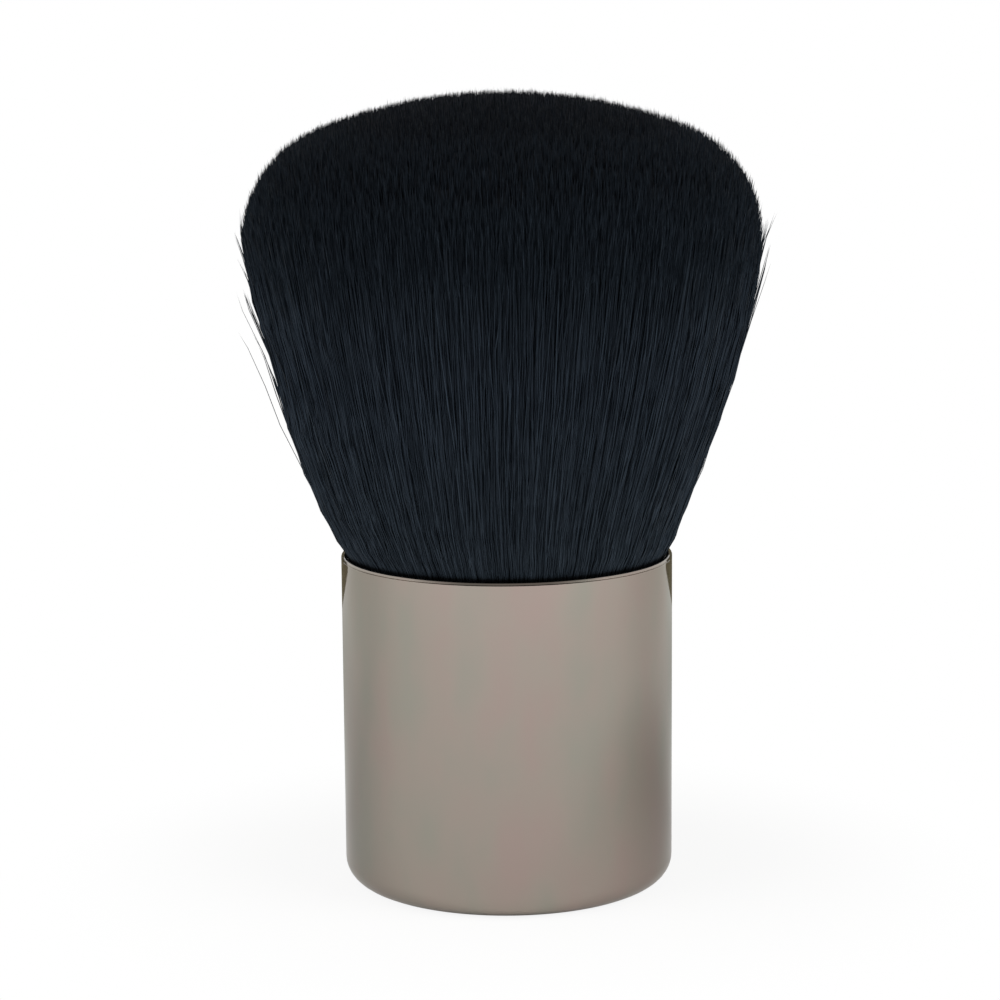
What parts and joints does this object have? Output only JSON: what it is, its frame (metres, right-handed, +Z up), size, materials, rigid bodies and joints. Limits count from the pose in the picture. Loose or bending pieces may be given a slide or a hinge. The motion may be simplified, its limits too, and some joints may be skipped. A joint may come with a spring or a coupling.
{
  "type": "kabuki makeup brush",
  "caption": "Short free-standing powder brush: a dense dome of dark flared bristles set in a straight, polished metal cup handle with a weighted base.",
  "frame": {"origin": "centre of the flat base that the brush stands on", "axes": "+Z up along the brush's axis, from the base to the crown of the bristles; -Y faces the picture's camera"},
  "size_m": [0.0496, 0.0496, 0.076],
  "materials": {
    "gunmetal_shell": "polished",
    "black_moulding": "satin",
    "set_adhesive": "satin",
    "grey_felt": "matte",
    "plain_steel": "satin",
    "plain_aluminium": "satin",
    "amber_resin": "gloss",
    "binding_cotton": "matte",
    "black_bristle": "satin"
  },
  "bodies": {
    "handle": {"outer_shell": "gunmetal_shell", "inner_sleeve": "black_moulding", "shell_glue": "set_adhesive", "weight_pad": "grey_felt", "base_weight": "plain_steel", "cup_glue": "set_adhesive", "hair_cup": "plain_aluminium", "root_resin": "amber_resin", "binding_thread": "binding_cotton", "tuft_root": "black_bristle"},
    "tuft": {"tuft_head": "black_bristle"}
  },
  "joints": [
    {"name": "tuft_bend", "type": "hinge", "parent": "handle", "child": "tuft", "pos_m": [0, 0, 0.0444], "axis": [0, 1, 0], "range_deg": [-20, 20], "stiffness_Nm_per_rad": 0.12}
  ]
}
